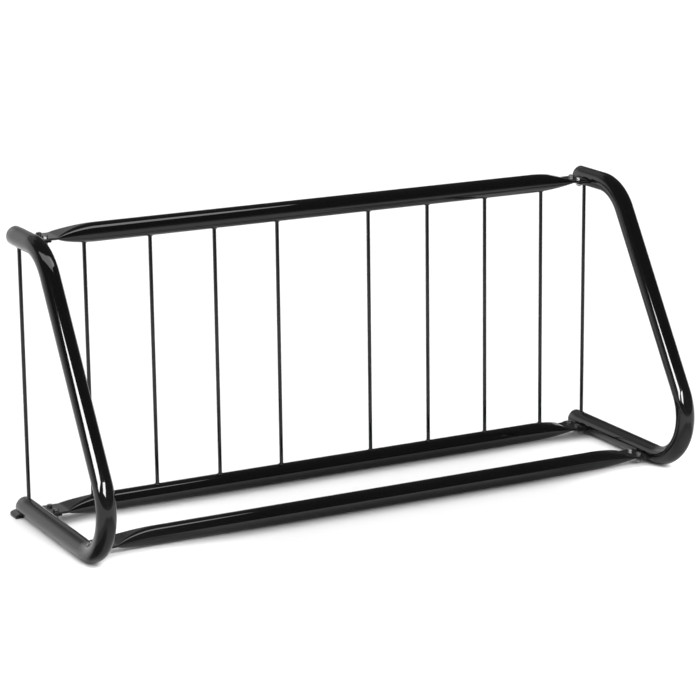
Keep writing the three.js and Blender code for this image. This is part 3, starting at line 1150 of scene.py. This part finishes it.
@dataclass
class JointBolts:
    """The hex bolts through tab and plate, and their nuts."""

    apothem: float = 6.35 * MM
    head_height: float = 5.4 * MM
    nut_height: float = 6.7 * MM
    washer_face: float = 0.4 * MM
    shank_radius: float = 3.95 * MM
    thread_pitch: float = 1.25 * MM
    thread_depth: float = 0.7 * MM
    thread_length: float = 4 * MM
    steps_per_pitch: int = 8
    tip_drop: float = 0.91 * MM
    bore_radius: float = 4.15 * MM
    countersink: float = 0.6 * MM
    chamfer: float = math.radians(30)
    crown_share: float = 0.95
    around: int = 48
    most_turn: float = math.radians(60)
    bolt_seed: int = 4
    nut_seed: int = 9

    def spread(self, wiring: Wiring, given: Sockets) -> Socket:
        """Adds the nodes that set one fastener on every point, each turned its own way.

        Args:
            wiring: The geometry tree.
            given: The sockets of its inputs.

        Returns:
            The fasteners.
        """
        shape = wiring.add("GeometryNodeObjectInfo", Object=given["Fastener"]).outputs["Geometry"]
        turn = wiring.add("FunctionNodeRandomValue", {"data_type": "FLOAT"}, _2=0.0,
                          _3=given["Most Turn"], Seed=given["Seed"]).outputs[1]
        angles = wiring.add("ShaderNodeCombineXYZ", X=0.0, Y=0.0, Z=turn).outputs[0]
        return wiring.add("GeometryNodeInstanceOnPoints", Points=given["Geometry"], Instance=shape,
                          Rotation=angles).outputs[0]

    @property
    def crown(self) -> float:
        """The radius of the round face that the chamfer leaves."""
        return self.apothem * self.crown_share

    def circle(self, radius: float, z: float) -> Ring:
        """A level circle round the Z axis."""
        return [polar(angle, radius, z) for angle in round_angles(self.around)]

    def hexagon(self, z: float, chamfer_way: int = 0) -> Ring:
        """A hexagon round the Z axis, its corners drawn back where it is chamfered.

        Args:
            z: Its height.
            chamfer_way: 1 where a chamfered face lies above, -1 where one lies below, or 0.

        Returns:
            The ring.
        """
        points: Ring = []
        for angle in round_angles(self.around):
            radius = self.apothem / math.cos(angle % (math.pi / 3) - math.pi / 6)
            back = chamfer_way * (radius - self.crown) * math.tan(self.chamfer)
            points.append(polar(angle, radius, z - back))
        return points

    def thread_rings(self, end_z: float) -> list[Ring]:
        """The threaded end of the shank, from its tip upwards.

        Args:
            end_z: The tip's height.

        Returns:
            The rings.
        """
        rings = [self.circle(self.shank_radius - self.tip_drop, end_z)]
        step = self.thread_pitch / self.steps_per_pitch
        for k in range(1, int(self.thread_length / step)):
            z = end_z + k * step
            points = []
            for angle in round_angles(self.around):
                turns = (z / self.thread_pitch - angle / FULL_TURN) % 1.0
                cut = self.thread_depth * abs(2 * turns - 1)
                lead_in = self.thread_depth - (z - end_z)
                points.append(polar(angle, self.shank_radius - max(cut, lead_in), z))
            rings.append(points)
        return rings

    def bolt(self, length: float) -> Piece:
        """One bolt, its head seated at height 0.

        Args:
            length: The shank's length.

        Returns:
            The bolt.
        """
        rings = self.thread_rings(-length)
        rings += [self.circle(self.shank_radius, -length + self.thread_length),
                  self.circle(self.shank_radius, 0), self.circle(self.crown, 0),
                  self.circle(self.crown, self.washer_face), self.hexagon(self.washer_face),
                  self.hexagon(self.head_height, 1), self.circle(self.crown, self.head_height)]
        return skinned("one_bolt", rings)

    def nut(self) -> Piece:
        """One nut, seated against height 0 from below.

        Returns:
            The nut.
        """
        wide = self.bore_radius + self.countersink
        low = -self.nut_height
        return skinned("one_nut", [
            self.circle(self.bore_radius, -self.countersink), self.circle(wide, 0),
            self.circle(self.crown, 0), self.hexagon(0, 1), self.hexagon(low, -1),
            self.circle(self.crown, low), self.circle(wide, low),
            self.circle(self.bore_radius, low + self.countersink),
        ], closed=True)

    def nodes(self, kind: str) -> list[str]:
        """The names of all bolts' or all nuts' nodes."""
        return [f"{side.word}_{place.value}_{row.value}_{kind}" for side, place in JOINTS for row in BoltRow]

    def build(self, paint: Paintbox) -> None:
        """Sets and dresses the bolts and the nuts.

        Args:
            paint: The materials.
        """
        tree = growing_tree("set_fasteners", {"Fastener": "Object", "Most Turn": "Float", "Seed": "Int"},
                            self.spread)
        low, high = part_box(self.nodes("bolt")[0])
        bolt = self.bolt(high.z - low.z - self.head_height)
        jobs = (("bolt", bolt, -self.head_height, self.bolt_seed), ("nut", self.nut(), 0.0, self.nut_seed))
        for kind, pattern, seat, seed in jobs:
            nodes = self.nodes(kind)
            seats = [[Vector((*box_middle(node)[:2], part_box(node)[1].z + seat))] for node in nodes]
            paint.grow(f"joint_{kind}s", wire_of(seats), tree, BRIGHT_ZINC, nodes,
                       Fastener=pattern, Most_Turn=self.most_turn, Seed=seed)
            bpy.data.objects.remove(pattern)


# ---- Stage ----


@dataclass(frozen=True)
class Camera:
    """A camera at the photograph's angle."""

    place: Point = (-3.0689, -5.5332, 2.0576)
    turn_right: float = math.radians(28.767)
    look_down: float = math.radians(14.875)
    roll: float = math.radians(-0.112)
    lens: float = 134.50
    sensor: float = 36.0
    reach: float = 100.0

    def build(self) -> None:
        """Makes the scene's camera."""
        data = bpy.data.cameras.new("camera")
        data.lens, data.sensor_width, data.clip_end = self.lens, self.sensor, self.reach
        camera = put("camera", data)
        turned = Matrix.Rotation(-self.turn_right, 4, "Z")
        tilted = Matrix.Rotation(QUARTER_TURN - self.look_down, 4, "X")
        rolled = Matrix.Rotation(-self.roll, 4, "Z")
        camera.matrix_world = Matrix.Translation(self.place) @ turned @ tilted @ rolled
        bpy.context.scene.camera = camera


@dataclass(frozen=True)
class Panel:
    """A flat bright panel that shows in the gloss and lights no surface. Its back can't be seen."""

    name: str
    brightness: float
    corners: tuple[Point, ...]

    def build(self) -> None:
        """Hangs the panel with its bright side to the rack."""
        corners = [Vector(corner) for corner in self.corners]
        facing = (corners[1] - corners[0]).cross(corners[2] - corners[1])
        if facing.dot(RACK_MIDDLE - corners[0]) < 0:
            corners.reverse()
        data = bpy.data.meshes.new(self.name)
        data.from_pydata(corners, [], [tuple(range(len(corners)))])
        glow = bpy.data.materials.new(self.name)
        wiring = bare_wiring(glow)
        back = wiring.add("ShaderNodeNewGeometry").outputs["Backfacing"]
        light = wiring.add("ShaderNodeEmission", Color=WHITE, Strength=self.brightness).outputs[0]
        clear = wiring.add("ShaderNodeBsdfTransparent").outputs[0]
        wiring.add("ShaderNodeOutputMaterial", Surface=wiring.blend(back, light, clear))
        data.materials.append(glow)
        panel = put(self.name, data)
        panel.visible_camera = panel.visible_diffuse = panel.visible_shadow = False


@dataclass(frozen=True)
class Zone:
    """A brighter part of the surroundings. Angles are in degrees, bearings from +Y towards +X."""

    bearing: float
    half_width: float
    height: float
    half_height: float
    softness: float
    brightness: float

    def wire(self, wiring: Wiring, bearing: Socket, height: Socket) -> Socket:
        """Adds the zone's nodes to the world.

        Args:
            wiring: The world's tree.
            bearing: The direction's bearing.
            height: The direction's height over the horizon.

        Returns:
            The brightness that it adds.
        """
        share: object = self.brightness
        for value, middle, half in ((bearing, self.bearing, self.half_width),
                                    (height, self.height, self.half_height)):
            offset = wiring.math("ABSOLUTE", wiring.math("SUBTRACT", value, math.radians(middle)))
            inside = wiring.ramp(offset, math.radians(half + self.softness),
                                 math.radians(half - self.softness), "SMOOTHSTEP")
            share = wiring.math("MULTIPLY", inside, share)
        return share


@dataclass(frozen=True)
class FloorShade:
    """A part of the floor that the gloss shows darker, inside a soft-edged rectangle."""

    x_edges: tuple[float, float, float, float]
    y_edges: tuple[float, float, float, float]
    depth: float

    def wire(self, wiring: Wiring, place: Socket) -> Socket:
        """Adds the shade's nodes to the floor's material.

        Args:
            wiring: The material's tree.
            place: The place on the floor.

        Returns:
            The share of the brightness that is left.
        """
        axes = wiring.add("ShaderNodeSeparateXYZ", Vector=place).outputs
        share: object = self.depth
        for axis, edges in ((axes["X"], self.x_edges), (axes["Y"], self.y_edges)):
            for start, end in (edges[:2], edges[:1:-1]):
                share = wiring.math("MULTIPLY", wiring.ramp(axis, start, end, "SMOOTHSTEP"), share)
        return wiring.math("SUBTRACT", 1.0, share)


@dataclass(frozen=True)
class FootFill:
    """A small soft lamp that lifts the floor beside a foot bend. The gloss doesn't show it."""

    name: str
    place: Point
    aim: Point
    power: float = 0.62
    size: float = 0.25
    spread: float = math.radians(60)

    def build(self) -> None:
        """Hangs the lamp and turns it to its aim."""
        data = bpy.data.lights.new(self.name, "AREA")
        data.size, data.energy, data.spread = self.size, self.power, self.spread
        lamp = put(self.name, data)
        place = Vector(self.place)
        turned = (place - Vector(self.aim)).to_track_quat("Z", "Y").to_matrix().to_4x4()
        lamp.matrix_world = Matrix.Translation(place) @ turned
        lamp.visible_camera = lamp.visible_glossy = False


@dataclass
class Studio:
    """A plain pale floor under soft light, with panels and zones that show in the gloss."""

    panels: Sequence[Panel]
    key: Sequence[Zone]
    gloss_zones: Sequence[Zone]
    floor_shades: Sequence[FloorShade]
    fills: Sequence[FootFill]
    floor_reach: float = 40.0
    floor_drop: float = 0.4 * MM
    floor_colour: float = 0.93
    ambient: float = 0.58
    gloss_sky: float = 0.08
    backdrop: float = 1.0

    def floor(self) -> None:
        """Lays the floor."""
        r, z = self.floor_reach, -self.floor_drop
        data = bpy.data.meshes.new("floor")
        data.from_pydata([(-r, -r, z), (r, -r, z), (r, r, z), (-r, r, z)], [], [(0, 1, 2, 3)])
        data.materials.append(self.floor_material())
        put("floor", data)

    def floor_material(self) -> bpy.types.Material:
        """A matt pale material that glossy rays see with the floor's shades.

        Returns:
            The material.
        """
        made = bpy.data.materials.new("pale_floor")
        wiring = bare_wiring(made)
        place = wiring.add("ShaderNodeTexCoord").outputs["Object"]
        shade: object = self.floor_colour
        for patch in self.floor_shades:
            shade = wiring.math("MULTIPLY", patch.wire(wiring, place), shade)
        ray = wiring.add("ShaderNodeLightPath").outputs["Is Glossy Ray"]
        seen = wiring.add("ShaderNodeMix", _0=ray, _2=self.floor_colour, _3=shade).outputs[0]
        shader = wiring.add("ShaderNodeBsdfDiffuse", Color=seen)
        wiring.add("ShaderNodeOutputMaterial", Surface=shader.outputs[0])
        return made

    def sky(self) -> None:
        """Lights surfaces from behind, zones the dark that the gloss shows and backs the view in white."""
        world = bpy.data.worlds.new("surroundings")
        wiring = bare_wiring(world)
        ray = wiring.add("ShaderNodeLightPath").outputs
        direction = wiring.add("ShaderNodeTexCoord").outputs["Generated"]
        way = wiring.add("ShaderNodeSeparateXYZ", Vector=direction).outputs
        bearing = wiring.math("ARCTAN2", way["X"], way["Y"])
        height = wiring.math("ARCSINE", way["Z"])
        shades = []
        for level, zones in ((self.ambient, self.key), (self.gloss_sky, self.gloss_zones),
                             (self.backdrop, ())):
            total: object = level
            for zone in zones:
                total = wiring.math("ADD", zone.wire(wiring, bearing, height), total)
            shades.append(wiring.add("ShaderNodeBackground", Color=WHITE, Strength=total).outputs[0])
        lit = wiring.blend(ray["Is Glossy Ray"], shades[0], shades[1])
        seen = wiring.blend(ray["Is Camera Ray"], lit, shades[2])
        wiring.add("ShaderNodeOutputWorld", Surface=seen)
        bpy.context.scene.world = world

    def build(self) -> None:
        """Sets the stage."""
        self.floor()
        self.sky()
        for fitting in (*self.panels, *self.fills):
            fitting.build()
        bpy.context.scene.view_settings.view_transform = "Standard"


PANELS = (
    Panel("left_window", 28.0, (
        (-3.73, -1.06, 0.80), (-2.08, -2.27, 2.48), (-2.49, -1.45, 2.45), (-2.70, -1.27, 2.25),
        (-3.16, -1.03, 1.70), (-3.60, -0.79, 1.20), (-3.79, -0.73, 0.96),
    )),
    Panel("front_window", 26.0, (
        (-0.20, -2.28, 2.17), (-1.30, -1.90, 1.79), (-1.90, -1.97, 1.04), (-1.23, -2.41, 0.89),
    )),
    Panel("overhead_lamp", 4.5, (
        (0.305, 0.05, 1.484), (0.170, 0.08, 1.725), (0.000, 0.05, 2.028), (-0.150, -0.03, 2.296),
        (-0.150, -1.10, 2.296), (-0.030, -0.74, 2.082), (0.070, -0.50, 1.903), (0.170, -0.35, 1.725),
        (0.250, -0.20, 1.583), (0.300, -0.06, 1.493),
    )),
    Panel("left_overhead_lamp", 3.3, (
        (-2.33, 0.70, 2.66), (-2.11, 0.79, 2.52), (-1.63, 0.47, 2.20), (-1.30, 0.20, 1.98),
        (-0.78, -0.01, 1.636), (-0.42, 0.01, 1.40), (-0.42, -0.53, 1.40), (-0.61, -0.54, 1.524),
        (-0.87, -0.53, 1.695), (-1.26, -0.40, 1.952), (-1.70, -0.23, 2.242), (-2.33, 0.05, 2.66),
    )),
)
SOFT_KEY = (Zone(-15, 75, 45, 20, 8, 2.3),)
GLOSS_ZONES = (
    Zone(-25, 28, -34, 60, 10, 0.7),
    Zone(-18, 44, -36, 63, 5, 0.4),
    Zone(-70, 15, -46, 60, 6, 0.6),
    Zone(-8, 26, 39, 8, 4, 0.32),
)
FLOOR_SHADES = (
    FloorShade((-0.5, 0.3, 2.0, 3.0), (0.15, 0.7, 2.2, 3.2), 0.70),
    FloorShade((-60.0, -50.0, 50.0, 60.0), (-60.0, -50.0, -3.0, -1.6), 0.80),
    FloorShade((-0.6, 0.2, 0.6, 0.85), (-0.35, -0.05, 0.30, 0.50), 0.35),
    FloorShade((-1.1, -0.95, -0.6, -0.4), (-0.90, -0.60, -0.25, -0.05), 0.72),
    FloorShade((0.45, 0.65, 1.0, 1.2), (-0.90, -0.60, -0.25, -0.05), 0.68),
    FloorShade((-0.94, -0.90, -0.845, -0.82), (-0.50, -0.34, -0.19, -0.15), 0.88),
)
FILLS = (
    FootFill("left_foot_fill", (-0.80, -0.62, 0.30), (-0.74, -0.26, 0.0)),
    FootFill("right_foot_fill", (0.80, -0.62, 0.30), (0.81, -0.26, 0.0)),
)


# ---- The whole rack ----


def main() -> None:
    """Builds the stage and every piece of the rack in order."""
    logging.basicConfig(level=logging.INFO, format="%(message)s")
    Camera().build()
    Studio(PANELS, SOFT_KEY, GLOSS_ZONES, FLOOR_SHADES, FILLS).build()

    paint = Paintbox([GLOSS_BLACK, WELD_BLACK, BRIGHT_ZINC, SATIN_PLASTIC])
    layout = Layout.from_frame()
    rods = Rods(layout)
    rails = [Rail(layout, place) for place in RailPlace]
    frames = [EndFrame(layout, side) for side in Side]
    for assembly in (*rails, *frames, rods, JointPlates(layout), AnchorEars(), Plugs(layout),
                     JointBolts(), Welds(layout, rods)):
        assembly.build(paint)


if __name__ == "__main__":
    main()
